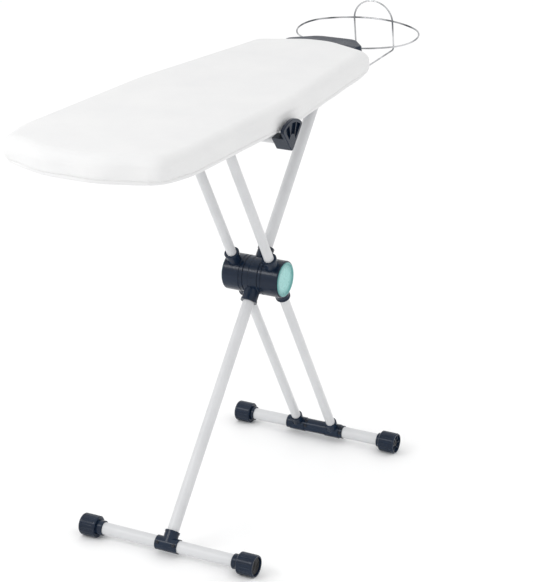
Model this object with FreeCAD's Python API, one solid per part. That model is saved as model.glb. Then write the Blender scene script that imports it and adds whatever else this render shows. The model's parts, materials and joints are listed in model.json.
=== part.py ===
import FreeCAD, Part
import math
import os

# Folding ironing board. Millimetres, +Z up, floor at Z = 0. +X points at the narrow tail,
# where the iron rest is, and -X at the broad nose. The origin is under the middle of the
# object's box, so the hub stands a little towards the tail.

# ---- driving dimensions -------------------------------------------------------------------
HUB_HEIGHT = 516.0
HUB_TO_NOSE = 766.0                # along X, open position
BOARD_TOP = 991.0
BOARD_BOTTOM = 934.5               # lowest fabric edge
BAR_HEIGHT = 916.0                 # cross-bar that slides under the board
FOOT_AXIS_HEIGHT = 24.0
FRONT_UPPER, FRONT_LOWER = 527.0, 638.5
REAR_LOWER = 587.0
FRONT_TUBE_R, REAR_TUBE_R, FOOT_TUBE_R, BAR_R = 13.0, 11.0, 14.0, 11.0
TUBE_WALL = 1.2
REAR_TUBE_Y = 46.5
HUB_R, HUB_HALF, HUB_AXLE_R = 42.0, 70.0, 8.0
CENTRE_BARREL_HALF = 18.0
FOOT_HALF = 215.0
FOOT_R = 24.6
WIRE_R = 2.0
HANDLE_IN, HANDLE_PLATE_IN, HANDLE_OUT = 177.0, 204.0, 211.0
RUNNING = 0.05                     # radial clearance of a running fit
FACE_GAP = 0.5

# iron rest, measured from the front leg's hinge
RING_CENTRE_X, RING_CENTRE_Z, RING_TILT = 162.9, 43.5, 9.1
RING_HALF_X, RING_HALF_Y, RING_END_OFFSET = 97.0, 150.0, 76.0
LOOP_X, LOOP_TOP_X, LOOP_HALF_Y, LOOP_CORNER = 265.9, 244.3, 49.5, 49.0
LOOP_BOTTOM, LOOP_TOP = -12.1, 103.3

# ---- places worked out from them ----------------------------------------------------------
front_angle = math.asin((HUB_HEIGHT - FOOT_AXIS_HEIGHT) / FRONT_LOWER)
rear_angle = math.asin((HUB_HEIGHT - FOOT_AXIS_HEIGHT) / REAR_LOWER)
pivot_from_hub = FRONT_UPPER * math.cos(front_angle)
HUB_X = (HUB_TO_NOSE - (pivot_from_hub + LOOP_X + WIRE_R)) / 2
NOSE_X = HUB_X - HUB_TO_NOSE
PIVOT_X = HUB_X + pivot_from_hub
PIVOT_HEIGHT = HUB_HEIGHT + FRONT_UPPER * math.sin(front_angle)
REAR_UPPER = (BAR_HEIGHT - HUB_HEIGHT) / math.sin(rear_angle)
BAR_X = HUB_X - REAR_UPPER * math.cos(rear_angle)
FRONT_FOOT_X = HUB_X - FRONT_LOWER * math.cos(front_angle)
REAR_FOOT_X = HUB_X + REAR_LOWER * math.cos(rear_angle)
TAIL_X = HUB_X + 309.0             # end of the fabric
SIDES = (("left", 1), ("right", -1))   # left is +Y

os.makedirs("parts", exist_ok=True)

X_AXIS = FreeCAD.Vector(1, 0, 0)
Y_AXIS = FreeCAD.Vector(0, 1, 0)
Z_AXIS = FreeCAD.Vector(0, 0, 1)


# ---- small helpers ------------------------------------------------------------------------
def point(x, z, y=0.0):
    return FreeCAD.Vector(x, y, z)


hub = point(HUB_X, HUB_HEIGHT)
pivot = point(PIVOT_X, PIVOT_HEIGHT)
bar = point(BAR_X, BAR_HEIGHT)
front_foot = point(FRONT_FOOT_X, FOOT_AXIS_HEIGHT)
rear_foot = point(REAR_FOOT_X, FOOT_AXIS_HEIGHT)
front_up = point(math.cos(front_angle), math.sin(front_angle))
rear_up = point(-math.cos(rear_angle), math.sin(rear_angle))


def rod(start, direction, length, radius):
    return Part.makeCylinder(radius, length, start, direction)


def pipe(start, direction, length, outer, inner):
    return rod(start, direction, length, outer).cut(rod(start, direction, length, inner))


def along_y(centre, low, high, radius):
    """Cylinder about the Y line through centre, from Y = low to Y = high."""
    return rod(point(centre.x, centre.z, low), Y_AXIS, high - low, radius)


def turned(centre, profile, side=1):
    """Solid turned about the Y line through centre; profile is (radius, Y) corners."""
    corners = [point(centre.x, centre.z + r, side * y) for r, y in profile]
    face = Part.Face(Part.makePolygon(corners + corners[:1]))
    return Part.Solid(face.revolve(point(centre.x, centre.z), Y_AXIS, 360))


def prism_y(wire, low, high):
    """Outline in the XZ plane at Y = 0, pushed out from Y = low to Y = high."""
    solid = Part.Face(wire).extrude(Y_AXIS * (high - low))
    solid.translate(Y_AXIS * low)
    return solid


def rounded(corners, radii):
    """Closed wire of straight runs and tangent arcs; corners and radii go round in order."""
    count = len(corners)
    cuts = []
    for i, corner in enumerate(corners):
        back = (corners[i - 1] - corner).normalize()
        ahead = (corners[(i + 1) % count] - corner).normalize()
        turn = math.pi - back.getAngle(ahead)
        reach = radii[i] * math.tan(turn / 2)
        inward = (back + ahead).normalize()
        middle = corner + inward * (radii[i] / math.cos(turn / 2) - radii[i])
        cuts.append((corner + back * reach, middle, corner + ahead * reach))
    edges = []
    for i, (start, middle, end) in enumerate(cuts):
        edges.append(Part.Arc(start, middle, end).toShape())
        edges.append(Part.LineSegment(end, cuts[(i + 1) % count][0]).toShape())
    return Part.Wire(edges)


def bent_wire(points, radii, radius):
    """Round wire through points, with an arc of its own radius at each inner point."""
    edges = []
    last = points[0]
    for i in range(1, len(points) - 1):
        back = (points[i - 1] - points[i]).normalize()
        ahead = (points[i + 1] - points[i]).normalize()
        turn = math.pi - back.getAngle(ahead)
        reach = radii[i - 1] * math.tan(turn / 2)
        inward = (back + ahead).normalize()
        start = points[i] + back * reach
        end = points[i] + ahead * reach
        middle = points[i] + inward * (radii[i - 1] / math.cos(turn / 2) - radii[i - 1])
        edges.append(Part.LineSegment(last, start).toShape())
        edges.append(Part.Arc(start, middle, end).toShape())
        last = end
    edges.append(Part.LineSegment(last, points[-1]).toShape())
    path = Part.Wire(edges)
    section = Part.Wire(Part.makeCircle(radius, points[0], points[1] - points[0]))
    return path.makePipeShell([section], True, False)


def screw(surface, outward, head_r, head_height, shank_r, shank_length):
    """Screw whose head sits on the point surface and whose shank goes the other way."""
    head = rod(surface, outward, head_height, head_r)
    head = head.makeChamfer(head_height * 0.3, [head.Edges[0]])
    slot = rod(surface + outward * (head_height * 0.55), outward, head_height, head_r * 0.38)
    return head.cut(slot).fuse(rod(surface, outward * -1, shank_length, shank_r))


def nut(surface, outward, across, height, hole_r):
    """Hexagon nut standing on the point surface."""
    side = outward.cross(Y_AXIS)
    if side.Length < 0.1:
        side = outward.cross(X_AXIS)
    side.normalize()
    other = outward.cross(side)
    corners = []
    for k in range(7):
        angle = math.radians(60 * k)
        spoke = side * math.cos(angle) + other * math.sin(angle)
        corners.append(surface + spoke * (across / math.sqrt(3)))
    block = Part.Face(Part.makePolygon(corners)).extrude(outward * height)
    return block.cut(rod(surface, outward, height, hole_r))


def save(name, *solids):
    shape = solids[0] if len(solids) == 1 else Part.makeCompound(list(solids))
    if not shape.isValid():
        print("not valid:", name)
    shape.exportStep("parts/" + name + ".step")
    print(f"{name:26s} {shape.Volume / 1000:10.2f} cm3  {len(shape.Solids)} solid(s)")


# ---- board: frame, padding and cover ------------------------------------------------------
COVER_THICKNESS = 3.0
HEM_WIDTH, HEM_THICKNESS = 15.0, 1.6
FRAME_INSET = 9.0
FELT_THICKNESS = 7.0
FELT_TOP = BOARD_TOP - COVER_THICKNESS
FRAME_TOP = FELT_TOP - FELT_THICKNESS
FRAME_BOTTOM = BOARD_BOTTOM + 4.5
SHEET = 1.0
FRAME_LIP = 22.0
SLOT_LENGTH, SLOT_WIDTH, SLOT_PITCH_X, SLOT_PITCH_Y = 46.0, 9.0, 62.0, 26.0


def board_outline(inset):
    """Half the plan's corners, from the nose's middle to the tail's, then mirrored."""
    half = [(-766, 62, 170), (-719, 174, 36), (-635, 195, 200), (-194, 193, 900),
            (252, 143, 38), (309, 33, 105)]
    corners = [FreeCAD.Vector(HUB_X + x, y, 0) for x, y, _ in half]
    corners += [FreeCAD.Vector(c.x, -c.y, 0) for c in reversed(corners)]
    radii = [r for _, _, r in half]
    wire = rounded(corners, radii + radii[::-1])
    return wire.makeOffset2D(-inset) if inset else wire


def board_plate(inset, low, high):
    plate = Part.Face(board_outline(inset)).extrude(Z_AXIS * (high - low))
    plate.translate(Z_AXIS * low)
    return plate


def top_edges(solid, height):
    return [e for e in solid.Edges if all(abs(v.Z - height) < 0.01 for v in e.Vertexes)]


def edges_along(solid, axis):
    return [e for e in solid.Edges if abs(e.tangentAt(e.FirstParameter).dot(axis)) > 0.9]


def soft_plate(inset, low, high, radius):
    plate = board_plate(inset, low, high)
    return plate.makeFillet(radius, top_edges(plate, high))


def make_cover():
    """Skin drawn in round the frame, with a hem turned under that opens for the leg."""
    skin = soft_plate(0, BOARD_BOTTOM, BOARD_TOP, 18.0)
    skin = skin.makeFillet(5.0, top_edges(skin, BOARD_BOTTOM))
    inside = soft_plate(COVER_THICKNESS, BOARD_BOTTOM + HEM_THICKNESS, FELT_TOP, 15.0)
    opening = board_plate(HEM_WIDTH, BOARD_BOTTOM, BOARD_BOTTOM + HEM_THICKNESS)
    leg_notch = Part.makeBox(40, 44, HEM_THICKNESS, FreeCAD.Vector(TAIL_X - 30, -22, BOARD_BOTTOM))
    return skin.cut(inside).cut(opening).cut(leg_notch)


def make_steel_top():
    pan = board_plate(FRAME_INSET, FRAME_BOTTOM, FRAME_TOP)
    pan = pan.cut(board_plate(FRAME_INSET + SHEET, FRAME_BOTTOM + SHEET, FRAME_TOP - SHEET))
    pan = pan.cut(board_plate(FRAME_INSET + FRAME_LIP, FRAME_BOTTOM, FRAME_BOTTOM + SHEET))
    vents = []
    columns = int((TAIL_X - NOSE_X - 130) / SLOT_PITCH_X)
    for i in range(columns):
        x = NOSE_X + 55 + i * SLOT_PITCH_X
        rows = 6 if x < HUB_X + 60 else 4
        for j in range(-rows, rows + 1):
            if j % 2 == i % 2:
                corner = FreeCAD.Vector(x, j * SLOT_PITCH_Y - SLOT_WIDTH / 2, FRAME_TOP - 2 * SHEET)
                vent = Part.makeBox(SLOT_LENGTH, SLOT_WIDTH, 4 * SHEET, corner)
                vents.append(vent.makeFillet(SLOT_WIDTH / 2 - 0.1, edges_along(vent, Z_AXIS)))
    return pan.cut(Part.makeCompound(vents))


save("cover", make_cover())
save("felt_pad", soft_plate(COVER_THICKNESS + 8.4, FRAME_TOP, FELT_TOP, 6.8))
ELASTIC_LOW, ELASTIC_HIGH = BOARD_BOTTOM + HEM_THICKNESS + 0.1, FRAME_BOTTOM - 0.1
save("hem_elastic", board_plate(8.0, ELASTIC_LOW, ELASTIC_HIGH)
     .cut(board_plate(13.0, ELASTIC_LOW, ELASTIC_HIGH)))

TONGUE_Y, TONGUE_X = 40.0, TAIL_X - 34.0
SCREW_HOLES = Part.makeCompound([rod(point(TONGUE_X, FRAME_BOTTOM - 12, s * TONGUE_Y), Z_AXIS, 18, 2.0)
                                 for _, s in SIDES])
save("steel_top", make_steel_top().cut(SCREW_HOLES))

# ---- board: rails, stops and height rack --------------------------------------------------
RAIL_Y, RAIL_WIDTH, RAIL_SLOT, RAIL_SHEET = 88.0, 30.0, 10.0, 1.2
RAIL_BOTTOM, RAIL_TOP = 944.5, FRAME_TOP - SHEET
RAIL_TAIL_X = BAR_X + 34.0
RAIL_NOSE_X = NOSE_X + 48.0
RACK_HALF, RACK_TIP, RACK_ROOT, RACK_PITCH = 14.0, 946.5, 951.5, 24.0
RACK_NOSE_X, RACK_TAIL_X = NOSE_X + 85.0, BAR_X + 92.0


def make_rail(side):
    length = RAIL_TAIL_X - RAIL_NOSE_X
    y = side * RAIL_Y - RAIL_WIDTH / 2
    rail = Part.makeBox(length, RAIL_WIDTH, RAIL_TOP - RAIL_BOTTOM,
                        FreeCAD.Vector(RAIL_NOSE_X, y, RAIL_BOTTOM))
    hollow = Part.makeBox(length, RAIL_WIDTH - 2 * RAIL_SHEET, RAIL_TOP - RAIL_BOTTOM - 2 * RAIL_SHEET,
                          FreeCAD.Vector(RAIL_NOSE_X, y + RAIL_SHEET, RAIL_BOTTOM + RAIL_SHEET))
    slot = Part.makeBox(length, RAIL_SLOT, 2 * RAIL_SHEET,
                        FreeCAD.Vector(RAIL_NOSE_X, side * RAIL_Y - RAIL_SLOT / 2, RAIL_BOTTOM - 0.5))
    return rail.cut(hollow).cut(slot)


def make_rail_stops():
    stops = []
    for _, side in SIDES:
        for x in (RAIL_NOSE_X + 1.0, RAIL_TAIL_X - 15.0):
            y = side * RAIL_Y - RAIL_WIDTH / 2 + RAIL_SHEET + 0.2
            stop = Part.makeBox(14.0, RAIL_WIDTH - 2 * RAIL_SHEET - 0.4, 28.0,
                                FreeCAD.Vector(x, y, RAIL_BOTTOM + RAIL_SHEET + 0.2))
            stops.append(stop.makeChamfer(2.0, edges_along(stop, Z_AXIS)))
    return stops


def make_height_rack():
    corners = [point(RACK_NOSE_X, RACK_ROOT + 3)]
    x = RACK_NOSE_X
    while x + RACK_PITCH <= RACK_TAIL_X:
        corners += [point(x, RACK_ROOT), point(x + RACK_PITCH * 0.5, RACK_ROOT),
                    point(x + RACK_PITCH * 0.5, RACK_TIP), point(x + RACK_PITCH * 0.72, RACK_TIP)]
        x += RACK_PITCH
    corners += [point(x, RACK_ROOT), point(x, RACK_ROOT + 3)]
    rack = prism_y(Part.makePolygon(corners + corners[:1]), -RACK_HALF, RACK_HALF)
    for _, side in SIDES:
        low = RACK_HALF - 2.0 if side > 0 else -RACK_HALF
        rack = rack.fuse(Part.makeBox(x - RACK_NOSE_X, 2.0, RAIL_TOP - RACK_ROOT - 1,
                                      FreeCAD.Vector(RACK_NOSE_X, low, RACK_ROOT + 1)))
    return rack.removeSplitter()


for name, side in SIDES:
    save("rail_" + name, make_rail(side))
save("rail_stops", *make_rail_stops())
save("height_rack", make_height_rack())

# ---- board: tail cap with the front leg's hinge, and the iron rest -------------------------
CAP_REACH = 52.0                   # past the hinge
CAP_HALF = 93.0
CAP_TALL = 46.5
CHEEK_IN, CHEEK_OUT = 18.6, 31.0
BOSS_R = 19.0
BOLT_R = 4.0
SLEEVE_HALF, SLEEVE_LENGTH, SLEEVE_DEPTH = 18.0, 52.0, 14.5


def ring_arcs(grow):
    """Ring's four tangent arcs, in its own plane, as a wire at the given radius growth."""
    d = RING_HALF_Y - RING_HALF_X
    k = RING_END_OFFSET
    h = d + d * d / (2 * (k - d))
    small = RING_HALF_Y - k + grow
    large = RING_HALF_X + h + grow
    joint = math.atan2(k, h)
    edges = []
    for start, centre, radius in ((-joint, (-h, 0), large), (joint, (0, k), small),
                                  (math.pi - joint, (h, 0), large), (math.pi + joint, (0, -k), small)):
        sweep = 2 * joint if radius == large else math.pi - 2 * joint
        middle = FreeCAD.Vector(centre[0], centre[1], 0)
        places = [middle + FreeCAD.Vector(math.cos(a), math.sin(a), 0) * radius
                  for a in (start, start + sweep / 2, start + sweep)]
        edges.append(Part.Arc(*places).toShape())
    return Part.Wire(edges)


def make_ring(radius):
    path = ring_arcs(0)
    begin = path.Edges[0].valueAt(path.Edges[0].FirstParameter)
    tangent = path.Edges[0].tangentAt(path.Edges[0].FirstParameter)
    section = Part.Wire(Part.makeCircle(radius, begin, tangent))
    ring = path.makePipeShell([section], True, False)
    ring.rotate(FreeCAD.Vector(0, 0, 0), Y_AXIS, -RING_TILT)
    ring.translate(point(PIVOT_X + RING_CENTRE_X, PIVOT_HEIGHT + RING_CENTRE_Z))
    return ring


def make_rest_frame(radius):
    """One wire: up out of the cap, down and out below the ring, and over the far end."""
    near = [(32, 37), (77, 28), (97, -24), (LOOP_X, LOOP_BOTTOM), (LOOP_TOP_X, LOOP_TOP)]
    points = [point(PIVOT_X + x, PIVOT_HEIGHT + z, LOOP_HALF_Y) for x, z in near]
    points += [point(p.x, p.z, -p.y) for p in reversed(points)]
    radii = [8, 12, 8, LOOP_CORNER]
    return bent_wire(points, radii + radii[::-1], radius)


def make_tail_cap():
    x0 = TAIL_X - 58.0
    corners = [FreeCAD.Vector(x0, CAP_HALF, 0), FreeCAD.Vector(PIVOT_X - 12, CAP_HALF, 0),
               FreeCAD.Vector(PIVOT_X + CAP_REACH + 2, 48, 0)]
    corners += [FreeCAD.Vector(c.x, -c.y, 0) for c in reversed(corners)]
    cap = Part.Face(rounded(corners, [4, 30, 35, 35, 30, 4])).extrude(Z_AXIS * CAP_TALL)
    cap.translate(Z_AXIS * (BOARD_BOTTOM - 1))
    cap_top = BOARD_BOTTOM - 1 + CAP_TALL
    slope = Part.makePolygon([point(TAIL_X, cap_top), point(PIVOT_X + 80, cap_top - 6),
                              point(PIVOT_X + 80, cap_top + 30), point(TAIL_X - 80, cap_top + 30),
                              point(TAIL_X - 80, cap_top), point(TAIL_X, cap_top)])
    cap = cap.cut(prism_y(slope, -120, 120))
    rim = [e for e in cap.Edges if e.BoundBox.ZMin > cap_top - 30 and e.BoundBox.XMin > TAIL_X - 10]
    cap = cap.makeFillet(5.0, rim)
    room = Part.Face(board_outline(0).makeOffset2D(0.8)).extrude(Z_AXIS * 60)
    room.translate(Z_AXIS * (BOARD_BOTTOM - 0.4))
    cap = cap.cut(room)
    leg_room = Part.makeBox(PIVOT_X + 18 - x0, 2 * CHEEK_IN, 10,
                            FreeCAD.Vector(x0 - 1, -CHEEK_IN, PIVOT_HEIGHT + SLEEVE_DEPTH - 8.5))
    cap = cap.cut(leg_room)
    for _, side in SIDES:
        low = CHEEK_IN if side > 0 else -CHEEK_OUT
        cheek = [point(PIVOT_X - 16, BOARD_BOTTOM + 6), point(PIVOT_X + CAP_REACH - 6, BOARD_BOTTOM + 6),
                 point(PIVOT_X + CAP_REACH - 6, PIVOT_HEIGHT + 18), point(PIVOT_X + 17, PIVOT_HEIGHT - 6),
                 point(PIVOT_X - 14, PIVOT_HEIGHT - 4)]
        cap = cap.fuse(prism_y(Part.makePolygon(cheek + cheek[:1]), low, low + CHEEK_OUT - CHEEK_IN))
        cap = cap.fuse(along_y(pivot, low, low + CHEEK_OUT - CHEEK_IN, BOSS_R))
        tongue_low = TONGUE_Y - 13 if side > 0 else -TONGUE_Y - 13
        tongue = Part.makeBox(TAIL_X + 12 - TONGUE_X, 26, 4.2,
                              FreeCAD.Vector(TONGUE_X - 10, tongue_low, BOARD_BOTTOM - 4.6))
        cap = cap.fuse(tongue)
    cap = cap.cut(along_y(pivot, -60, 60, BOLT_R))
    cap = cap.cut(SCREW_HOLES)
    cap = cap.cut(make_ring(WIRE_R + 0.4)).cut(make_rest_frame(WIRE_R + 0.4))
    return cap.removeSplitter()


def make_cap_screws():
    pieces = []
    for _, side in SIDES:
        seat = point(TONGUE_X, BOARD_BOTTOM - 4.7, side * TONGUE_Y)
        pieces.append(screw(seat, Z_AXIS * -1, 4.5, 2.4, 1.9, 13.6))
        pieces.append(nut(point(TONGUE_X, FRAME_BOTTOM + SHEET, side * TONGUE_Y), Z_AXIS, 7.0, 3.0, 2.0))
    return pieces


def make_pivot_bolt():
    bolt = screw(point(PIVOT_X, PIVOT_HEIGHT, -CHEEK_OUT), Y_AXIS * -1, 7.0, 2.6, BOLT_R - RUNNING,
                 2 * CHEEK_OUT + 5)
    return bolt, nut(point(PIVOT_X, PIVOT_HEIGHT, CHEEK_OUT), Y_AXIS, 12.0, 4.0, BOLT_R)


save("tail_cap", make_tail_cap())
save("cap_screws", *make_cap_screws())
save("pivot_bolt", *make_pivot_bolt())
rest_frame = make_rest_frame(WIRE_R)
save("iron_rest_frame", rest_frame)
save("iron_rest_ring", make_ring(WIRE_R).cut(rest_frame))

# ---- front leg: one tube through the hub's middle barrel ----------------------------------
COLLAR_REACH, SOCKET_START = 66.0, 40.0
TEE_R, TEE_HALF = 16.0, 27.0
LEG_END_GAP = FOOT_TUBE_R + 2.5


def make_sleeve():
    start = pivot - front_up * SLEEVE_LENGTH
    block = along_y(pivot, -SLEEVE_HALF, SLEEVE_HALF, SLEEVE_DEPTH)
    body = Part.makeBox(SLEEVE_LENGTH, 2 * SLEEVE_HALF, 2 * SLEEVE_DEPTH,
                        FreeCAD.Vector(0, -SLEEVE_HALF, -SLEEVE_DEPTH))
    body = body.makeFillet(5.0, edges_along(body, X_AXIS))
    body.rotate(FreeCAD.Vector(0, 0, 0), Y_AXIS, -math.degrees(front_angle))
    body.translate(start)
    block = block.fuse(body)
    block = block.cut(rod(start, front_up, SLEEVE_LENGTH - 18, FRONT_TUBE_R))
    across = pivot - front_up * 34
    block = block.cut(rod(point(across.x, across.z, -30), Y_AXIS, 60, 3.0))
    return block.cut(along_y(pivot, -30, 30, BOLT_R)).removeSplitter()


def sleeve_hole(radius):
    across = pivot - front_up * 34
    return rod(point(across.x, across.z, -SLEEVE_HALF), Y_AXIS, 2 * SLEEVE_HALF, radius)


def make_sleeve_rivet():
    across = pivot - front_up * 34
    ends = [along_y(across, SLEEVE_HALF, SLEEVE_HALF + 1.8, 5.5),
            along_y(across, -SLEEVE_HALF - 1.8, -SLEEVE_HALF, 5.5)]
    return sleeve_hole(3.0).fuse(ends[0]).fuse(ends[1])


def make_hub_centre():
    half = CENTRE_BARREL_HALF
    barrel = turned(hub, [(HUB_AXLE_R + RUNNING, -half), (HUB_R - 1, -half), (HUB_R, -half + 1),
                          (HUB_R, -5), (HUB_R - 1.2, -4), (HUB_R - 1.2, 4), (HUB_R, 5),
                          (HUB_R, half - 1), (HUB_R - 1, half), (HUB_AXLE_R + RUNNING, half)])
    for direction in (front_up, front_up * -1):
        barrel = barrel.fuse(rod(hub + direction * 30, direction, COLLAR_REACH - 30, half - 0.3))
        barrel = barrel.fuse(rod(hub + direction * (COLLAR_REACH - 5), direction, 5, half + 0.9))
    for direction in (front_up, front_up * -1):
        barrel = barrel.cut(rod(hub + direction * SOCKET_START, direction, 60, FRONT_TUBE_R))
    return barrel.cut(along_y(hub, -half, half, HUB_AXLE_R + RUNNING))


def foot_screws(centre, angle, places):
    """Screws on a foot's tee: Y places, all on the radius at angle above the -X direction."""
    outward = point(-math.cos(math.radians(angle)), math.sin(math.radians(angle)))
    return [screw(point(centre.x, centre.z, y) + outward * TEE_R, outward, 3.6, 2.2, 1.8, 6.0)
            for y in places]


def cut_all(shape, tools):
    return shape.cut(Part.makeCompound(tools))


FRONT_SCREW_Y = (-20.0, 20.0)
front_screws = foot_screws(front_foot, 28, FRONT_SCREW_Y)
upper_start = hub + front_up * SOCKET_START
upper_end = FRONT_UPPER - SOCKET_START - 18
lower_length = FRONT_LOWER - SOCKET_START - LEG_END_GAP
front_foot_tube = along_y(front_foot, -FOOT_HALF + 20, FOOT_HALF - 20, FOOT_TUBE_R)
front_foot_tube = front_foot_tube.cut(along_y(front_foot, -FOOT_HALF, FOOT_HALF, FOOT_TUBE_R - TUBE_WALL))
front_tee = along_y(front_foot, -TEE_HALF, TEE_HALF, TEE_R).fuse(rod(front_foot, front_up, 29, TEE_R))
front_tee = front_tee.fuse(rod(front_foot + front_up * 26, front_up, 4, TEE_R + 0.8))
front_tee = front_tee.cut(along_y(front_foot, -TEE_HALF, TEE_HALF, FOOT_TUBE_R))
front_tee = front_tee.cut(rod(front_foot + front_up * LEG_END_GAP, front_up, 40, FRONT_TUBE_R))

save("pivot_sleeve", make_sleeve())
save("sleeve_rivet", make_sleeve_rivet())
save("front_leg_upper_tube", pipe(upper_start, front_up, upper_end, FRONT_TUBE_R, FRONT_TUBE_R - TUBE_WALL)
     .cut(sleeve_hole(3.0)))
save("front_leg_lower_tube", pipe(hub - front_up * SOCKET_START, front_up * -1, lower_length, FRONT_TUBE_R,
                                  FRONT_TUBE_R - TUBE_WALL))
save("hub_centre_barrel", make_hub_centre())
save("front_foot_tee", cut_all(front_tee, front_screws))
save("front_foot_tube", cut_all(front_foot_tube, front_screws))
save("front_tee_screws", *front_screws)

# ---- feet: fixed caps at the front, wheels at the rear -------------------------------------
DRUM_IN = FOOT_HALF - 40.0
COLLAR_IN = DRUM_IN - 14.0
RECESS_R, RECESS_DEPTH = 20.5, 5.5
GRIP_COUNT = 20


def drum(centre, side, inner, bore_r):
    """Knurled drum with a dished outer end. Its bore reaches Y = inner from the inside."""
    out = FOOT_HALF
    profile = [(bore_r, DRUM_IN), (FOOT_R - 2, DRUM_IN), (FOOT_R, DRUM_IN + 2), (FOOT_R, out - 2.5),
               (FOOT_R - 1.5, out), (RECESS_R, out), (RECESS_R - 1, out - RECESS_DEPTH),
               (0, out - RECESS_DEPTH), (0, inner), (bore_r, inner)]
    body = turned(centre, profile, side)
    grooves = []
    for k in range(GRIP_COUNT):
        angle = 2 * math.pi * (k + 0.5) / GRIP_COUNT
        spot = centre + point(math.sin(angle), -math.cos(angle)) * (FOOT_R + 1.1)
        low = DRUM_IN + 5 if side > 0 else -out + 6
        grooves.append(along_y(spot, low, low + 29, 1.9))
    return body.cut(Part.makeCompound(grooves))


def face_ribs(centre, side, count, inner_r):
    """Radial ribs standing in the drum's dish."""
    ribs = []
    low = FOOT_HALF - RECESS_DEPTH if side > 0 else -FOOT_HALF + 1.5
    for k in range(count):
        rib = Part.makeBox(RECESS_R - 1 - inner_r, RECESS_DEPTH - 1.5, 2.0,
                           FreeCAD.Vector(inner_r, low, -1))
        rib.rotate(FreeCAD.Vector(0, 0, 0), Y_AXIS, 360.0 * k / count)
        rib.translate(centre)
        ribs.append(rib)
    return ribs


def make_foot_cap(side):
    cap = drum(front_foot, side, FOOT_HALF - 19.5, FOOT_TUBE_R)
    cap = cap.fuse(turned(front_foot, [(FOOT_TUBE_R, COLLAR_IN), (16, COLLAR_IN), (17, COLLAR_IN + 1),
                                       (17, DRUM_IN), (FOOT_TUBE_R, DRUM_IN)], side))
    floor = Part.makeBox(80, 500, 10, FreeCAD.Vector(front_foot.x - 40, -250, -10))
    return cap.cut(floor)


def make_foot_pad(side):
    out = FOOT_HALF - RECESS_DEPTH
    disc = turned(front_foot, [(0, out), (18.5, out), (18.5, out + 2), (0, out + 2)], side)
    for ring_r in (15.5, 10.5, 5.5):
        disc = disc.fuse(turned(front_foot, [(ring_r - 1.4, out + 1.5), (ring_r, out + 1.5),
                                             (ring_r - 0.3, out + 3.4), (ring_r - 1.1, out + 3.4)], side))
    return disc


AXLE_R, AXLE_TIP = 6.0, FOOT_HALF - RECESS_DEPTH + 0.3


def make_axle_sleeve(side):
    """Plug in the rear foot tube's end, with a collar outside and the wheel's axle."""
    return turned(rear_foot, [(0, COLLAR_IN - 12), (FOOT_TUBE_R - TUBE_WALL, COLLAR_IN - 12),
                              (FOOT_TUBE_R - TUBE_WALL, DRUM_IN - 8), (17, DRUM_IN - 8),
                              (17, DRUM_IN - 1.6), (16, DRUM_IN - 0.8), (AXLE_R, DRUM_IN - 0.8),
                              (AXLE_R, AXLE_TIP), (2, AXLE_TIP), (2, AXLE_TIP - 6), (0, AXLE_TIP - 6)], side)


def make_wheel(side):
    wheel = drum(rear_foot, side, FOOT_HALF - 10, 10.0)
    wheel = wheel.fuse(turned(rear_foot, [(AXLE_R, DRUM_IN), (11, DRUM_IN), (11, FOOT_HALF - 8),
                                          (AXLE_R, FOOT_HALF - 8)], side))
    wheel = wheel.fuse(Part.makeCompound(face_ribs(rear_foot, side, 6, 9.0)))
    low, high = sorted((side * (DRUM_IN - 1), side * FOOT_HALF))
    return wheel.cut(along_y(rear_foot, low, high, AXLE_R + RUNNING))


for name, side in SIDES:
    save("front_foot_cap_" + name, make_foot_cap(side))
save("front_foot_pads", *[make_foot_pad(side) for _, side in SIDES])
for name, side in SIDES:
    save("axle_sleeve_" + name, make_axle_sleeve(side))
    save("wheel_" + name, make_wheel(side))
wheel_screws = [screw(point(rear_foot.x, rear_foot.z, side * AXLE_TIP), Y_AXIS * side, 7.5, 2.2, 2.0, 6.0)
                for _, side in SIDES]
save("wheel_screws", *wheel_screws)

# ---- rear legs: two tubes, the hub's end barrels and the caps -----------------------------
CAP_FACE_R = 39.0
BARREL_IN, BARREL_OUT = CENTRE_BARREL_HALF + FACE_GAP, HUB_HALF - 1.0
REAR_COLLAR_R = 16.0
T_HALF, T_R = 17.0, 16.0
REAR_TEE_HALF = 75.0


def make_end_barrel(side):
    profile = [(HUB_AXLE_R, BARREL_IN), (HUB_R - 1, BARREL_IN), (HUB_R, BARREL_IN + 1), (HUB_R, BARREL_IN + 7),
               (HUB_R - 1.3, BARREL_IN + 8), (HUB_R - 1.3, BARREL_IN + 9.5), (HUB_R, BARREL_IN + 10.5),
               (HUB_R, BARREL_OUT - 2), (HUB_R - 1, BARREL_OUT), (CAP_FACE_R + 0.2, BARREL_OUT),
               (CAP_FACE_R + 0.2, BARREL_OUT - 5), (12, BARREL_OUT - 5), (12, BARREL_OUT - 9),
               (HUB_AXLE_R, BARREL_OUT - 9)]
    barrel = turned(hub, profile, side)
    y = FreeCAD.Vector(0, side * REAR_TUBE_Y, 0)
    for direction in (rear_up, rear_up * -1):
        barrel = barrel.fuse(rod(hub + y + direction * 30, direction, COLLAR_REACH - 30, REAR_COLLAR_R))
        barrel = barrel.fuse(rod(hub + y + direction * (COLLAR_REACH - 4), direction, 4, REAR_COLLAR_R + 1))
    for direction in (rear_up, rear_up * -1):
        barrel = barrel.cut(rod(hub + y + direction * SOCKET_START, direction, 60, REAR_TUBE_R))
    return barrel


def make_hub_cap(side):
    """Dished disc: raised bead at the edge, then a shallow bowl."""
    low = BARREL_OUT - 4.9
    bead = HUB_HALF + 1.2
    profile = [(0, low), (CAP_FACE_R, low), (CAP_FACE_R, bead - 1.2), (CAP_FACE_R - 1.2, bead),
               (CAP_FACE_R - 3, bead), (CAP_FACE_R - 5, bead - 2.2), (22, bead - 3.2), (0, bead - 3.6)]
    return turned(hub, profile, side)


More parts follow.
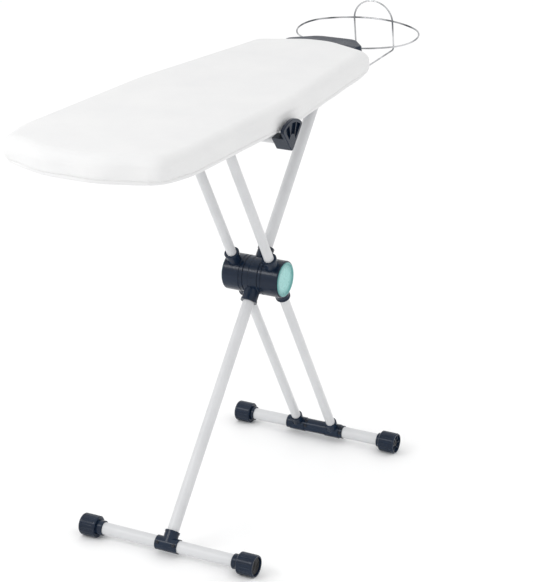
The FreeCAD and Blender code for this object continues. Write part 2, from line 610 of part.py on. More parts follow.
def make_leg_t(side):
    y = FreeCAD.Vector(0, side * REAR_TUBE_Y, 0)
    low = side * REAR_TUBE_Y - T_HALF
    body = along_y(bar, low, low + 2 * T_HALF, T_R)
    body = body.fuse(rod(bar + y, rear_up * -1, 40, REAR_TUBE_R + 3.4))
    body = body.cut(rod(bar + y - rear_up * 18, rear_up * -1, 40, REAR_TUBE_R))
    return body.cut(along_y(bar, low, low + 2 * T_HALF, BAR_R + RUNNING))


def make_rear_tube(side, upper):
    y = FreeCAD.Vector(0, side * REAR_TUBE_Y, 0)
    direction = rear_up if upper else rear_up * -1
    length = (REAR_UPPER - 18 if upper else REAR_LOWER - LEG_END_GAP) - SOCKET_START
    return pipe(hub + y + direction * SOCKET_START, direction, length, REAR_TUBE_R, REAR_TUBE_R - TUBE_WALL)


def make_rear_tee():
    tee = along_y(rear_foot, -REAR_TEE_HALF, REAR_TEE_HALF, TEE_R)
    for _, side in SIDES:
        y = FreeCAD.Vector(0, side * REAR_TUBE_Y, 0)
        tee = tee.fuse(rod(rear_foot + y, rear_up, 33, REAR_TUBE_R + 3.6))
        scoop_low = side * REAR_TUBE_Y - 19
        tee = tee.fuse(along_y(rear_foot, scoop_low, scoop_low + 38, TEE_R + 1.2))
    tee = tee.cut(along_y(rear_foot, -REAR_TEE_HALF, REAR_TEE_HALF, FOOT_TUBE_R))
    for _, side in SIDES:
        y = FreeCAD.Vector(0, side * REAR_TUBE_Y, 0)
        tee = tee.cut(rod(rear_foot + y + rear_up * LEG_END_GAP, rear_up, 40, REAR_TUBE_R))
    return tee


rear_screw_y = [side * REAR_TUBE_Y - 24 for _, side in SIDES]
rear_screws = foot_screws(rear_foot, 12, rear_screw_y) + foot_screws(rear_foot, 58, rear_screw_y)
rear_foot_tube = along_y(rear_foot, -DRUM_IN + 8, DRUM_IN - 8, FOOT_TUBE_R)
rear_foot_tube = rear_foot_tube.cut(along_y(rear_foot, -FOOT_HALF, FOOT_HALF, FOOT_TUBE_R - TUBE_WALL))

save("hub_axle", along_y(hub, -BARREL_OUT + 9, BARREL_OUT - 9, HUB_AXLE_R)
     .fuse(along_y(hub, BARREL_OUT - 9, BARREL_OUT - 6, 11))
     .fuse(along_y(hub, -BARREL_OUT + 6, -BARREL_OUT + 9, 11)))
for name, side in SIDES:
    save("hub_barrel_" + name, make_end_barrel(side))
    save("hub_cap_" + name, make_hub_cap(side))
    save("rear_leg_upper_" + name, make_rear_tube(side, True))
    save("rear_leg_lower_" + name, make_rear_tube(side, False))
    save("rear_leg_t_" + name, make_leg_t(side))
save("rear_foot_tee", cut_all(make_rear_tee(), rear_screws))
save("rear_foot_tube", cut_all(rear_foot_tube, rear_screws))
save("rear_tee_screws", *rear_screws)

# ---- sliding carriage and latch bar --------------------------------------------------------
SHOE_HALF, SHOE_R = 8.0, 17.0
HEAD_LOW, HEAD_HIGH = 952.0, 957.0
SECTOR_R, SECTOR_OPEN, SECTOR_AIM = 68.0, 82.0, 90.0
SECTOR_APEX = point(BAR_X + 2.0, BAR_HEIGHT - 25.0)
PAWL_HALF, PAWL_REACH = 13.0, 80.0
BAR_END = HANDLE_OUT - 9.0


def make_shoe(side):
    y = side * RAIL_Y
    shoe = along_y(bar, y - SHOE_HALF, y + SHOE_HALF, SHOE_R)
    shoe = shoe.fuse(Part.makeBox(20, 6, HEAD_LOW - BAR_HEIGHT + 1, FreeCAD.Vector(BAR_X - 10, y - 3, BAR_HEIGHT)))
    head = Part.makeBox(36, 24, HEAD_HIGH - HEAD_LOW, FreeCAD.Vector(BAR_X - 18, y - 12, HEAD_LOW))
    head = head.makeFillet(2.4, edges_along(head, Y_AXIS))
    shoe = shoe.fuse(head)
    return shoe.cut(along_y(bar, y - SHOE_HALF, y + SHOE_HALF, BAR_R + RUNNING)).removeSplitter()


def sector(radius, apex, trim):
    """Sector outline, its two straight sides moved in by trim."""
    aim, half = math.radians(SECTOR_AIM), math.radians(SECTOR_OPEN / 2)
    tip = apex + point(math.cos(aim), math.sin(aim)) * (trim / math.sin(half))
    spread = half - trim / radius
    ends = [apex + point(math.cos(a), math.sin(a)) * radius for a in (aim - spread, aim + spread)]
    middle = apex + point(math.cos(aim), math.sin(aim)) * radius
    return Part.Wire([Part.LineSegment(tip, ends[0]).toShape(), Part.Arc(ends[0], middle, ends[1]).toShape(),
                      Part.LineSegment(ends[1], tip).toShape()])


def make_handle(side):
    low = HANDLE_IN if side > 0 else -HANDLE_OUT
    body = prism_y(sector(SECTOR_R, SECTOR_APEX, 0), low, low + HANDLE_OUT - HANDLE_IN)
    body = body.makeFillet(6.0, edges_along(body, Y_AXIS))
    face_y = side * HANDLE_OUT
    body = body.makeFillet(1.8, [e for e in body.Edges if abs(e.BoundBox.YMin - face_y) < 0.01
                                 and abs(e.BoundBox.YMax - face_y) < 0.01])
    half = [(2, 11.7), (40, 4.5), (60, 1), (60, 80)]
    above = [bar + point(x, z) for x, z in half] + [bar + point(-x, z) for x, z in reversed(half)]
    over_low, over_high = sorted((side * (HANDLE_IN - 1), side * HANDLE_PLATE_IN))
    over = prism_y(Part.makePolygon(above + above[:1]), over_low, over_high)
    socket = along_y(bar, low, low + HANDLE_OUT - HANDLE_IN - 0.5, BAR_R + 3.5)
    body = body.cut(over).fuse(socket.cut(over))
    dish = prism_y(sector(SECTOR_R - 7, SECTOR_APEX, 8), 0, 4)
    dish = dish.cut(along_y(bar, -1, 5, BAR_R + 2.5))
    for turn in (-14, 14):
        rib = Part.makeBox(70, 4, 3, FreeCAD.Vector(0, 0, -1.5))
        rib.rotate(FreeCAD.Vector(0, 0, 0), Y_AXIS, -(SECTOR_AIM + turn))
        rib.translate(SECTOR_APEX)
        dish = dish.cut(rib)
    dish.translate(Y_AXIS * (face_y - 4 if side > 0 else face_y))
    body = body.cut(dish)
    hole_low, hole_high = sorted((side * (HANDLE_IN - 1), side * BAR_END))
    return body.cut(along_y(bar, hole_low, hole_high, BAR_R))


def make_pawl():
    clamp = along_y(bar, -PAWL_HALF, PAWL_HALF, 14.2)
    x, z = BAR_X, BAR_HEIGHT
    teeth = [point(x + 8, z + 8), point(x + 8, z + 15)]
    for k in range(3):
        start = x + PAWL_REACH - 28 + 9 * k
        teeth += [point(start, z + 15), point(start + 6, z + 19.5), point(start + 6, z + 15)]
    teeth += [point(x + PAWL_REACH, z + 15), point(x + PAWL_REACH - 6, z + 7)]
    plate = prism_y(Part.makePolygon(teeth + teeth[:1]), -PAWL_HALF, PAWL_HALF)
    return clamp.fuse(plate).cut(along_y(bar, -PAWL_HALF, PAWL_HALF, BAR_R)).removeSplitter()


def make_spring():
    """Flat strip wound round the bar beside the pawl, each half turn a semicircle."""
    half_turns, pitch, inner_r, strip, width = 7, 1.5, 13.2, 0.7, 9.0
    edges = []
    for grow in (0, strip):
        for k in range(half_turns):
            radius = inner_r + k * pitch / 2 + grow
            centre = bar + X_AXIS * (pitch / 2 * (k % 2))
            up = 1 if k % 2 == 0 else -1
            ends = [centre + X_AXIS * radius * up, centre + Z_AXIS * radius * up, centre - X_AXIS * radius * up]
            edges.append(Part.Arc(*ends).toShape())
    for k in (0, half_turns - 1):
        vertex = 0 if k == 0 else 1
        edges.append(Part.LineSegment(edges[k].Vertexes[vertex].Point,
                                      edges[half_turns + k].Vertexes[vertex].Point).toShape())
    return prism_y(Part.Wire(Part.__sortEdges__(edges)), PAWL_HALF + 1, PAWL_HALF + 1 + width)


for name, side in SIDES:
    save("glide_shoe_" + name, make_shoe(side))
    save("release_handle_" + name, make_handle(side))
save("cross_bar", along_y(bar, -BAR_END, BAR_END, BAR_R)
     .cut(along_y(bar, -BAR_END, BAR_END, BAR_R - TUBE_WALL)))
save("latch_pawl", make_pawl())
save("latch_spring", make_spring())
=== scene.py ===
import json
import math

import bmesh
import bpy
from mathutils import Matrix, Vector, noise


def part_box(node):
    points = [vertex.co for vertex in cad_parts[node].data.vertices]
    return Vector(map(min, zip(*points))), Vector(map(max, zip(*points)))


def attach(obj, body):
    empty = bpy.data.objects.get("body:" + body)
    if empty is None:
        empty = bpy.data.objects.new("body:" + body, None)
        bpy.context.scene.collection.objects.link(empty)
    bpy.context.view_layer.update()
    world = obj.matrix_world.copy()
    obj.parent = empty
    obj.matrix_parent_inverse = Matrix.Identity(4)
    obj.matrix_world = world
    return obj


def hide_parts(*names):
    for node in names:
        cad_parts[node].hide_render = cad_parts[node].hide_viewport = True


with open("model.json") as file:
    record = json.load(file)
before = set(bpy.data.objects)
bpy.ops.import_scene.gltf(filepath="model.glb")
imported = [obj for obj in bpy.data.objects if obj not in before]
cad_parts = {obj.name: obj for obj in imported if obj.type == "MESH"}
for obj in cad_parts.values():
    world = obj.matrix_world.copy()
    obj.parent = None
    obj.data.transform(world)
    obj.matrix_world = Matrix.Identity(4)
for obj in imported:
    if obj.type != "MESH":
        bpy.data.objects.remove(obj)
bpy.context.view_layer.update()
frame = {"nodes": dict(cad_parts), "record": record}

MM = 0.001
nodes = frame["nodes"]

# ---- camera: the hub stands at the middle of the crossed legs ------------------------------
AZIMUTH, ELEVATION = math.radians(-61.27), math.radians(22.03)
CAMERA_DISTANCE = 4.497
LENS, SENSOR = 124.57, 36.0
SHIFT_X, SHIFT_Y = 0.0921, 0.1400
AIM_LEFT, AIM_DOWN = 0.0996, 0.2185      # the optical axis passes this far from the hub


def box_middle(node):
    low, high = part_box(node)
    return (low + high) / 2


hub = box_middle("hub_axle")
back = Vector((math.sin(AZIMUTH) * math.cos(ELEVATION), -math.cos(AZIMUTH) * math.cos(ELEVATION),
               math.sin(ELEVATION)))
right = Vector((math.cos(AZIMUTH), math.sin(AZIMUTH), 0))
up = back.cross(right)

camera = bpy.data.objects.new("camera", bpy.data.cameras.new("camera"))
bpy.context.scene.collection.objects.link(camera)
camera.data.lens = LENS
camera.data.sensor_width = SENSOR
camera.data.shift_x = SHIFT_X
camera.data.shift_y = SHIFT_Y
camera.data.clip_start, camera.data.clip_end = 0.1, 100
camera.location = hub - right * AIM_LEFT - up * AIM_DOWN + back * CAMERA_DISTANCE
camera.rotation_euler = back.to_track_quat("Z", "Y").to_euler()
bpy.context.scene.camera = camera


# ---- material helpers ----------------------------------------------------------------------
class Graph:
    """One material's node tree, with short calls for the nodes used here."""

    def __init__(self, name, colour, roughness, metallic=0.0):
        self.material = bpy.data.materials.new(name)
        self.material.use_nodes = True
        self.tree = self.material.node_tree
        self.shader = self.tree.nodes["Principled BSDF"]
        self.shader.inputs["Base Color"].default_value = (*colour, 1)
        self.shader.inputs["Roughness"].default_value = roughness
        self.shader.inputs["Metallic"].default_value = metallic
        self.place = self.add("ShaderNodeTexCoord").outputs["Object"]
        self.height = None

    def add(self, kind, **settings):
        node = self.tree.nodes.new(kind)
        for key, value in settings.items():
            setattr(node, key, value)
        return node

    def link(self, output, target):
        self.tree.links.new(output, target)

    def noise(self, scale, detail=3.0, stretch=(1, 1, 1), rough=0.55):
        stretcher = self.add("ShaderNodeMapping")
        stretcher.inputs["Scale"].default_value = stretch
        self.link(self.place, stretcher.inputs["Vector"])
        texture = self.add("ShaderNodeTexNoise")
        texture.inputs["Scale"].default_value = scale
        texture.inputs["Detail"].default_value = detail
        texture.inputs["Roughness"].default_value = rough
        self.link(stretcher.outputs["Vector"], texture.inputs["Vector"])
        return texture.outputs["Fac"]

    def ramp(self, value, low, high, low_at=0.3, high_at=0.7):
        """value mapped to a blend of two colours."""
        node = self.add("ShaderNodeValToRGB")
        node.color_ramp.elements[0].position = low_at
        node.color_ramp.elements[1].position = high_at
        node.color_ramp.elements[0].color = (*low, 1)
        node.color_ramp.elements[1].color = (*high, 1)
        self.link(value, node.inputs["Fac"])
        return node.outputs["Color"]

    def span(self, value, low, high):
        node = self.add("ShaderNodeMapRange")
        node.inputs["To Min"].default_value = low
        node.inputs["To Max"].default_value = high
        self.link(value, node.inputs["Value"])
        return node.outputs["Result"]

    def math(self, operation, first, second):
        node = self.add("ShaderNodeMath", operation=operation)
        for socket, value in zip(node.inputs, (first, second)):
            if isinstance(value, (int, float)):
                socket.default_value = value
            else:
                self.link(value, socket)
        return node.outputs["Value"]

    def bump(self, value, distance, strength=1.0):
        node = self.add("ShaderNodeBump")
        node.inputs["Distance"].default_value = distance
        node.inputs["Strength"].default_value = strength
        self.link(value, node.inputs["Height"])
        if self.height is not None:
            self.link(self.height, node.inputs["Normal"])
        self.height = node.outputs["Normal"]
        self.link(self.height, self.shader.inputs["Normal"])

    def to(self, socket, value):
        self.link(value, self.shader.inputs[socket])

    def fixed(self, **values):
        for key, value in values.items():
            self.shader.inputs[key.replace("_", " ")].default_value = value


def cloth_material():
    g = Graph("cover_cloth", (0.75, 0.75, 0.75), 0.86)
    shade = g.noise(9.0, 4.0)
    g.to("Base Color", g.ramp(shade, (0.735, 0.736, 0.739), (0.765, 0.765, 0.764)))
    g.fixed(Sheen_Weight=0.18, Sheen_Roughness=0.45)
    weave = []
    for axis in ("X", "Y"):
        wave = g.add("ShaderNodeTexWave", bands_direction=axis)
        wave.inputs["Scale"].default_value = 330.0
        wave.inputs["Distortion"].default_value = 0.6
        wave.inputs["Detail"].default_value = 1.0
        g.link(g.place, wave.inputs["Vector"])
        weave.append(wave.outputs["Fac"])
    g.bump(g.math("MULTIPLY", weave[0], weave[1]), 0.00022, 0.45)
    g.bump(g.noise(140.0, 4.0), 0.0004, 0.35)
    return g.material


def felt_material():
    g = Graph("underlay_felt", (0.62, 0.60, 0.56), 0.95)
    fibres = g.noise(520.0, 6.0, (1, 0.35, 1), 0.7)
    g.to("Base Color", g.ramp(fibres, (0.50, 0.49, 0.46), (0.70, 0.68, 0.64)))
    g.bump(fibres, 0.0008, 0.7)
    return g.material


def elastic_material():
    g = Graph("woven_elastic", (0.72, 0.72, 0.71), 0.8)
    wave = g.add("ShaderNodeTexWave", bands_direction="DIAGONAL")
    wave.inputs["Scale"].default_value = 260.0
    g.link(g.place, wave.inputs["Vector"])
    g.to("Base Color", g.ramp(wave.outputs["Fac"], (0.60, 0.60, 0.59), (0.80, 0.80, 0.79)))
    g.bump(wave.outputs["Fac"], 0.0003, 0.6)
    return g.material


def thread_material():
    g = Graph("sewing_thread", (0.78, 0.78, 0.77), 0.7)
    twist = g.noise(900.0, 2.0, (1, 1, 0.3))
    g.to("Base Color", g.ramp(twist, (0.68, 0.68, 0.67), (0.84, 0.84, 0.83)))
    g.bump(twist, 0.0002, 0.6)
    return g.material


def paint_material(name, colour, scuff, roughness):
    """Powder coat: orange peel, faint dirt and a little variation in gloss."""
    g = Graph(name, colour, roughness)
    dirt = g.noise(14.0, 5.0)
    g.to("Base Color", g.ramp(dirt, scuff, colour, 0.25, 0.6))
    g.to("Roughness", g.span(g.noise(45.0, 3.0), roughness - 0.07, roughness + 0.1))
    g.bump(g.noise(620.0, 2.0), 0.00012, 0.5)
    g.fixed(Coat_Weight=0.12, Coat_Roughness=0.25)
    return g.material


def plastic_material(name, dark, light, roughness, shine=0.3):
    """Moulded plastic: spark-eroded grain, faint flow marks and handled patches."""
    g = Graph(name, light, roughness)
    flow = g.noise(22.0, 4.0, (1, 0.3, 1))
    g.to("Base Color", g.ramp(flow, dark, light))
    g.to("Roughness", g.span(g.noise(60.0, 4.0), roughness - 0.08, roughness + 0.12))
    g.bump(g.noise(900.0, 2.0), 0.00016, 0.5)
    g.fixed(Specular_IOR_Level=shine)
    return g.material


def dish_material():
    """The hub's teal discs: painted shade makes them darker in the bead round the rim and where the dish
    starts.
    """
    g = Graph("teal_moulding_painted_rim_shade", TEAL, 0.26)
    shift = g.add("ShaderNodeVectorMath", operation="SUBTRACT")
    shift.inputs[1].default_value = hub
    g.link(g.place, shift.inputs[0])
    flat = g.add("ShaderNodeVectorMath", operation="MULTIPLY")
    flat.inputs[1].default_value = (1, 0, 1)
    g.link(shift.outputs["Vector"], flat.inputs[0])
    radius = g.add("ShaderNodeVectorMath", operation="LENGTH")
    g.link(flat.outputs["Vector"], radius.inputs[0])
    share = g.math("DIVIDE", radius.outputs["Value"], DISH_RADIUS)
    # painted shade: the teal darkens with distance from the hub axis, with a little noise, as if shade
    # lay in the rim's bead
    rim_shade = g.math("ADD", share, g.math("MULTIPLY", g.noise(40.0, 3.0), 0.12))
    g.to("Base Color", g.ramp(rim_shade, TEAL, TEAL_PAINTED_SHADE, 0.62, 0.95))
    g.to("Roughness", g.span(g.noise(60.0, 4.0), 0.2, 0.36))
    g.bump(g.noise(700.0, 2.0), 0.00016, 0.5)
    return g.material


def rubber_material():
    g = Graph("foot_rubber", (0.02, 0.02, 0.021), 0.75)
    grain = g.noise(420.0, 5.0)
    g.to("Base Color", g.ramp(grain, (0.012, 0.012, 0.013), (0.045, 0.045, 0.048)))
    g.bump(grain, 0.0005, 0.7)
    return g.material


def metal_material(name, colour, roughness, brushed):
    g = Graph(name, colour, roughness, 1.0)
    lines = g.noise(300.0, 4.0, (1, brushed, 1))
    g.to("Roughness", g.span(lines, roughness * 0.6, roughness * 1.5))
    g.to("Base Color", g.ramp(g.noise(30.0, 3.0), tuple(c * 0.88 for c in colour), colour))
    g.bump(lines, 0.00006, 0.4)
    return g.material


def chrome_material():
    """Thin chromed wire: bright, with dark patches painted into its colour as reflections of darker
    surroundings.
    """
    g = Graph("chrome_wire", (0.4, 0.4, 0.42), 0.12, 1.0)
    # painted reflection: the base colour runs from near black to bright chrome in patches
    g.to("Base Color", g.ramp(g.noise(17.0, 2.0), (0.07, 0.075, 0.085), (0.62, 0.625, 0.64), 0.36, 0.62))
    g.to("Roughness", g.span(g.noise(160.0, 3.0), 0.07, 0.2))
    g.bump(g.noise(700.0, 2.0), 0.00004, 0.4)
    return g.material


# the darker teal is painted shade for the dish's rim; the lighter one is the moulding's own colour
TEAL_PAINTED_SHADE, TEAL = (0.13, 0.36, 0.35), (0.29, 0.59, 0.57)
DISH_RADIUS = 39 * MM
NAVY_DARK, NAVY = (0.005, 0.011, 0.025), (0.009, 0.020, 0.042)
WHITE_PAINT = (0.63, 0.636, 0.648)
MATERIALS = {
    "tube_white": paint_material("tube_powder_coat", WHITE_PAINT, (0.585, 0.592, 0.605), 0.34),
    "frame_steel": paint_material("pan_powder_coat", (0.62, 0.63, 0.64), (0.54, 0.55, 0.56), 0.45),
    "navy_plastic": plastic_material("navy_moulding", NAVY_DARK, NAVY, 0.18, 0.26),
    "black_plastic": plastic_material("black_moulding", (0.006, 0.006, 0.008), (0.012, 0.013, 0.017),
                                      0.32, 0.08),
    "rack_nylon": plastic_material("rack_nylon", (0.018, 0.018, 0.020), (0.032, 0.032, 0.035), 0.5),
    "teal_plastic": dish_material(),
    "rubber_black": rubber_material(),
    "chrome_wire": chrome_material(),
    "zinc": metal_material("zinc_plate", (0.66, 0.66, 0.63), 0.30, 6.0),
    "black_steel": metal_material("black_oxide", (0.045, 0.047, 0.055), 0.38, 2.0),
    "cover_cloth": cloth_material(),
    "felt": felt_material(),
    "elastic": elastic_material(),
}
THREAD = thread_material()
TAIL_CAP = plastic_material("cap_moulding", NAVY_DARK, NAVY, 0.3, 0.05)   # duller than the hub

for part in frame["record"]["subparts"]:
    mesh = nodes[part["node"]].data
    mesh.materials.clear()
    mesh.materials.append(TAIL_CAP if part["node"] == "tail_cap" else MATERIALS[part["material_slot"]])


# ---- soft top --------------------------------------------------------------------------------
COLUMNS = 420
TOP_RINGS = 34


def cross(o, a, b):
    """Twice the area of the triangle o, a, b, positive when it turns anticlockwise."""
    return (a.x - o.x) * (b.y - o.y) - (a.y - o.y) * (b.x - o.x)


def plan_hull(node):
    """Corners of a node's plan, anticlockwise."""
    spots = sorted({(round(v.co.x, 5), round(v.co.y, 5)) for v in nodes[node].data.vertices})
    spots = [Vector(s) for s in spots]
    hull = []
    for row in (spots, spots[::-1]):
        chain = []
        for s in row:
            while len(chain) > 1 and cross(chain[-2], chain[-1], s) <= 0:
                chain.pop()
            chain.append(s)
        hull += chain[:-1]
    return hull


def plan_outline(node, count):
    """A node's plan as count points, anticlockwise from the tail's middle and the same on both
    sides, with inward normals and how sharply the edge turns."""
    hull = sorted((p for p in plan_hull(node) if p.y > 0), key=lambda p: math.atan2(p.y, p.x - 0.1))
    hull = [Vector((max(p.x for p in hull), 0))] + hull + [Vector((min(p.x for p in hull), 0))]
    lengths = [(b - a).length for a, b in zip(hull, hull[1:])]
    step = 2 * sum(lengths) / count
    half = [hull[0]]
    i, left = 0, step
    for _ in range(count // 2 - 1):
        while left > lengths[i]:
            left -= lengths[i]
            i += 1
        half.append(hull[i].lerp(hull[i + 1], left / lengths[i]))
        left += step
    half.append(hull[-1])
    points = half + [Vector((p.x, -p.y)) for p in reversed(half[1:-1])]
    for _ in range(3):
        points = [(points[k - 1] + points[k] * 2 + points[(k + 1) % count]) / 4 for k in range(count)]
    normals = []
    for k in range(count):
        along = (points[(k + 1) % count] - points[k - 1]).normalized()
        normals.append(Vector((-along.y, along.x)))
    bends = [normals[k - 1].angle(normals[(k + 1) % count]) for k in range(count)]
    for _ in range(12):
        bends = [(bends[k - 1] + bends[k] + bends[(k + 1) % count]) / 3 for k in range(count)]
    return points, normals, bends, step


outline, inward, bend, column_step = plan_outline("cover", COLUMNS)
cover_low, cover_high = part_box("cover")
SPINE = (cover_low.x + 0.19, cover_high.x - 0.13)
top_z, hem_z = cover_high.z, cover_low.z
EDGE_R = 20 * MM                       # the top's edge turns over in a quarter ellipse
EDGE_IN = 27 * MM
HEM_DRAW, CORNER_DRAW = 2.2 * MM, 3.2 * MM     # how far the elastic pulls the hem in
CORNER_BULGE = 7.0 * MM                # and how far it pushes the skirt out above the hem
CROWN = 1.6 * MM
CLOTH = 1.1 * MM
HEM_RIM, HEM_TURN = 2.2 * MM, 8 * MM   # radius under the skirt, and the width turned in
HEM_LINE = 0.82                        # the sewn line, as a share of the way down the skirt
HEM_LIFT, ELASTIC_LIFT = 1.4 * MM, 1.0 * MM    # how far the hem is drawn up over the folded leg
LIFT_FULL, LIFT_NONE = 20 * MM, 34 * MM        # and how far to each side of the board's middle
SKIRT_ROWS = (0.09, 0.18, 0.27, 0.36, 0.45, 0.53, 0.61, 0.68, 0.74,
              0.78, 0.80, 0.82, 0.84, 0.86, 0.90, 0.95, 1.0)
EDGE_STEPS, RIM_STEPS, TURN_STEPS = 8, 4, 5
PAD_GAP, PAD_ROUND = 12 * MM, 6 * MM   # the underlay's edge: inside the outline, and its radius
# the elastic's section in mm: how far inside the outline, and how far above its middle
ELASTIC_SECTION = ((8.4, 0), (8.4, 0.28), (10.6, 0.34), (12.8, 0.28), (12.8, 0), (12.8, -0.24),
                   (10.6, -0.3), (8.4, -0.24), (8.4, 0))
STITCHES = COLUMNS * 2
STITCH_LENGTH = 0.33                   # in columns
THREAD_R, THREAD_PROUD = 0.32 * MM, 0.75 * MM
full_bend = max(bend)


def gather(column):
    """How much the hem bunches here: much at the corners, little along the sides."""
    return min(1.0, bend[column % COLUMNS] / full_bend)


def lifted(column):
    """How much the hem is drawn up here: 1 where the leg's hinge folds under the tail."""
    spot = outline[column % COLUMNS]
    if spot.x < SPINE[1]:
        return 0.0
    t = min(max((LIFT_NONE - abs(spot.y)) / (LIFT_NONE - LIFT_FULL), 0.0), 1.0)
    return t * t * (3 - 2 * t)


def pucker(column, height):
    """Outward push of the skirt. height is 0 at the hem and 1 where the top's edge turns over."""
    s = column * column_step
    low = (1 - height) ** 1.6
    fold = math.sin(s * 310 + 2.6 * noise.noise(Vector((s * 9, 0.3, 1.7))))
    fold *= 0.5 + 0.5 * noise.noise(Vector((s * 24, 4.1, 0.2)))
    drag = noise.noise(Vector((s * 16, height * 3.2, 8.3)))
    slack = noise.noise(Vector((s * 5, height * 1.4, 3.9)))
    amount = 0.3 + 1.3 * gather(column)
    push = fold * 2.2 * low * amount + drag * 1.9 * (0.3 + 0.7 * low) + slack * 1.3
    return max(push, -1.4) * MM


def skirt_profile():
    """(inset, height above the hem's fold, pucker height) down the edge and under the rim."""
    side_top = top_z - EDGE_R - CROWN
    rows = []
    for k in range(1, EDGE_STEPS + 1):
        angle = math.pi / 2 * k / EDGE_STEPS
        rows.append((EDGE_IN * (1 - math.sin(angle)), side_top + EDGE_R * math.cos(angle), 1.0))
    for t in SKIRT_ROWS:
        z = side_top + (hem_z + HEM_RIM - side_top) * t
        belly = math.sin(math.pi * t) * 0.5 * MM
        seam = math.exp(-((t - HEM_LINE) / 0.022) ** 2) * 0.9 * MM
        rows.append((seam - belly, z, 1 - t))
    for k in range(1, RIM_STEPS + 1):
        angle = math.pi / 2 * k / RIM_STEPS
        rows.append((HEM_RIM * (1 - math.cos(angle)), hem_z + HEM_RIM * (1 - math.sin(angle)), 0.0))
    for k in range(1, TURN_STEPS + 1):
        rows.append((HEM_RIM + HEM_TURN * k / TURN_STEPS, hem_z + 0.15 * MM * k, 0.0))
    return rows


def surface_point(column, inset, z, height):
    """A point of the skirt or hem. Only the turned-over edge has height 1, and it stays smooth."""
    column %= COLUMNS
    push = pucker(column, height) if height < 1 else 0.0
    drawn = (HEM_DRAW + CORNER_DRAW * gather(column)) * (1 - height) ** 2.2
    level = min(max((z - hem_z) / (top_z - hem_z), 0.0), 1.0)
    bulge = CORNER_BULGE * gather(column) * math.sin(math.pi * level ** 0.8)
    rest = outline[column] + inward[column] * (inset + drawn - push - bulge)
    near_seam = math.exp(-((height - 1 + HEM_LINE) / 0.13) ** 2)
    z += noise.noise(Vector((column * column_step * 13, 2.2, 7.1))) * near_seam * 1.3 * MM
    if height == 0.0:
        z += max(0.0, pucker(column, 0.0)) * 0.6
    z += HEM_LIFT * lifted(column) * (1 - height) ** 8
    return Vector((rest.x, rest.y, z))


def spine_point(x):
    """The point of the board's middle line that the rings shrink to."""
    return Vector((min(max(x, SPINE[0]), SPINE[1]), 0.0))


def top_point(column, t):
    """t is 0 at the board's middle line and 1 where the edge starts to turn over."""
    rim = outline[column] + inward[column] * EDGE_IN
    spot = spine_point(rim.x).lerp(rim, t)
    settle = noise.noise(Vector((spot.x * 7, spot.y * 9, 0.5))) * 0.55 * MM
    settle += noise.noise(Vector((spot.x * 21, spot.y * 30, 4.5))) * 0.16 * MM
    z = top_z - CROWN * t ** 3 + settle * (1 - t ** 6) - 0.4 * MM
    return Vector((spot.x, spot.y, z))


def close_spine(made):
    """Weld the points that lie on each other along the middle line."""
    mesh = bmesh.new()
    mesh.from_mesh(made.data)
    bmesh.ops.remove_doubles(mesh, verts=mesh.verts, dist=0.03 * MM)
    bmesh.ops.recalc_face_normals(mesh, faces=mesh.faces)
    mesh.to_mesh(made.data)
    mesh.free()
    for face in made.data.polygons:
        face.use_smooth = True


def new_object(name, mesh):
    """Link an object made from a bmesh, which is freed."""
    data = bpy.data.meshes.new(name)
    mesh.to_mesh(data)
    mesh.free()
    made = bpy.data.objects.new(name, data)
    bpy.context.scene.collection.objects.link(made)
    return made


def grid_object(name, rows):
    """Mesh of rings, each a list of COLUMNS points."""
    mesh = bmesh.new()
    rings = [[mesh.verts.new(p) for p in row] for row in rows]
    for inner, outer in zip(rings, rings[1:]):
        for k in range(COLUMNS):
            n = (k + 1) % COLUMNS
            mesh.faces.new((inner[k], outer[k], outer[n], inner[n]))
    return new_object(name, mesh)


def apply_modifiers(obj):
    bpy.context.view_layer.objects.active = obj
    for modifier in list(obj.modifiers):
        with bpy.context.temp_override(object=obj):
            bpy.ops.object.modifier_apply(modifier=modifier.name)


def make_cover():
    rows = [[top_point(k, (r / TOP_RINGS) ** 0.8) for k in range(COLUMNS)]
            for r in range(TOP_RINGS + 1)]
    for inset, z, height in skirt_profile():
        rows.append([surface_point(k, inset, z, height) for k in range(COLUMNS)])
    cover = grid_object("fitted_cover", rows)
    close_spine(cover)
    shell = cover.modifiers.new("cloth", "SOLIDIFY")
    shell.thickness = CLOTH
    shell.offset = -1
    apply_modifiers(cover)
    cover.data.materials.append(MATERIALS["cover_cloth"])
    return cover


def make_underlay():
    """Felt pad between the steel and the cover, with a rounded edge."""
    low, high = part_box("felt_pad")
    sunk = 1.4 * MM                    # the pad's top stays this far below its CAD solid's
    rows = []
    for r in range(TOP_RINGS + 1):
        t = r / TOP_RINGS
        row = []
        for k in range(COLUMNS):
            rim = outline[k] + inward[k] * (PAD_GAP + PAD_ROUND)
            spot = spine_point(rim.x).lerp(rim, t)
            lump = noise.noise(Vector((spot.x * 30, spot.y * 30, 9.1))) * 0.3 * MM
            row.append(Vector((spot.x, spot.y, high.z - sunk - CROWN * t ** 3 + lump)))
        rows.append(row)
    half = (high.z - low.z - sunk - CROWN) / 2
    for k in range(1, EDGE_STEPS + 1):
        angle = math.pi * k / EDGE_STEPS
        inset = PAD_GAP + PAD_ROUND * (1 - math.sin(angle))
        z = low.z + half + half * math.cos(angle)
        rows.append([Vector((*(outline[c] + inward[c] * inset), z)) for c in range(COLUMNS)])
    edge = rows[-1]
    for t in (0.25, 0.5, 0.75, 1.0):
        rows.append([Vector((*spine_point(p.x).lerp(p.xy, 1 - t), low.z)) for p in edge])
    pad = grid_object("felt_underlay", rows)
    close_spine(pad)
    pad.data.materials.append(MATERIALS["felt"])
    return pad


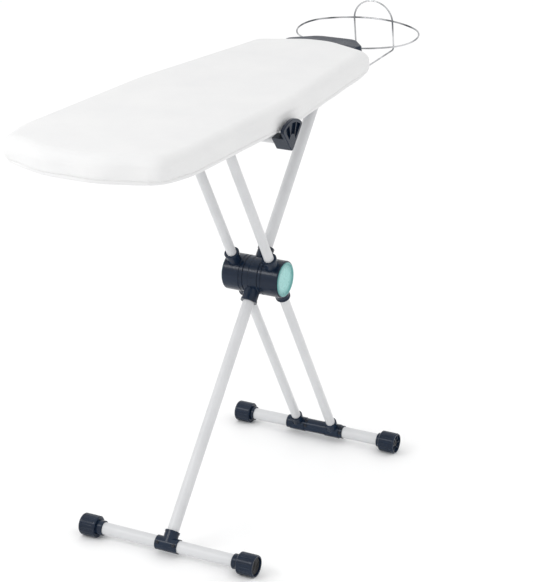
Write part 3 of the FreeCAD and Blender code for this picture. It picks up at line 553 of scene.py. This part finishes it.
def make_elastic():
    """Flat elastic in the hem's channel, drawn up in small ripples."""
    low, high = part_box("hem_elastic")
    middle = (low.z + high.z) / 2
    rows = []
    for inset, lift in ELASTIC_SECTION:
        row = []
        for k in range(COLUMNS):
            ripple = 0.06 * math.sin(k * column_step * 1500)
            spot = outline[k] + inward[k] * inset * MM
            z = middle + (lift + ripple) * MM + ELASTIC_LIFT * lifted(k)
            row.append(Vector((spot.x, spot.y, z)))
        rows.append(row)
    band = grid_object("hem_elastic_band", rows)
    close_spine(band)
    band.data.materials.append(MATERIALS["elastic"])
    return band


def make_stitches():
    """Topstitching round the skirt, above the hem: one short thread loop for each stitch."""
    mesh = bmesh.new()
    height = 1 - HEM_LINE + 0.06
    z = hem_z + (top_z - EDGE_R - hem_z) * height

    def on_skirt(at):
        column = int(at)
        here, there = (surface_point(c, 0.3 * MM, z, height) for c in (column, column + 1))
        return here.lerp(there, at - column)

    for k in range(STITCHES):
        at = k * COLUMNS / STITCHES
        start, end = on_skirt(at), on_skirt(at + STITCH_LENGTH)
        outward = -Vector((*inward[int(at) % COLUMNS], 0))
        rings = []
        for t in (0.0, 0.15, 0.5, 0.85, 1.0):
            p = start.lerp(end, t)
            p = p + outward * (THREAD_PROUD + THREAD_R * math.sin(math.pi * t))
            size = THREAD_R * (0.35 + 0.65 * math.sin(math.pi * min(max(t, 0.08), 0.92)) ** 0.5)
            ring = []
            for m in range(6):
                angle = math.pi / 3 * m
                rise = Vector((0, 0, math.sin(angle) * size))
                ring.append(mesh.verts.new(p + outward * math.cos(angle) * size + rise))
            rings.append(ring)
        for one, two in zip(rings, rings[1:]):
            for m in range(6):
                n = (m + 1) % 6
                mesh.faces.new((one[m], two[m], two[n], one[n]))
        mesh.faces.new(rings[0])
        mesh.faces.new(rings[-1][::-1])
    bmesh.ops.recalc_face_normals(mesh, faces=mesh.faces)
    made = new_object("hem_stitching", mesh)
    made.data.materials.append(THREAD)
    return made


cover = make_cover()
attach(cover, "board")
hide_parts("cover")

underlay = make_underlay()
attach(underlay, "board")
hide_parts("felt_pad")

elastic = make_elastic()
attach(elastic, "board")
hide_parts("hem_elastic")

stitches = make_stitches()
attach(stitches, "board")


# ---- floor and light -------------------------------------------------------------------------
def make_floor():
    mesh = bmesh.new()
    bmesh.ops.create_grid(mesh, x_segments=8, y_segments=8, size=30.0)
    floor = new_object("studio_floor", mesh)
    g = Graph("studio_floor", (0.985, 0.985, 0.985), 0.6)
    g.to("Base Color", g.ramp(g.noise(0.8, 2.0), (0.98, 0.98, 0.98), (0.99, 0.99, 0.99)))
    floor.data.materials.append(g.material)


def area_light(name, offset, width, height, power):
    data = bpy.data.lights.new(name, "AREA")
    data.shape = "RECTANGLE"
    data.size, data.size_y = width, height
    data.energy = power
    light = bpy.data.objects.new(name, data)
    bpy.context.scene.collection.objects.link(light)
    light.location = hub + offset
    light.rotation_euler = offset.to_track_quat("Z", "Y").to_euler()


make_floor()
area_light("key", Vector((-2.2, 1.4, 1.75)), 2.0, 0.25, 19)
bpy.context.scene.view_settings.view_transform = "Standard"
world = bpy.data.worlds.new("studio")
bpy.context.scene.world = world
world.use_nodes = True
world.node_tree.nodes["Background"].inputs["Color"].default_value = (1.0, 1.0, 1.0, 1)
world.node_tree.nodes["Background"].inputs["Strength"].default_value = 1.04
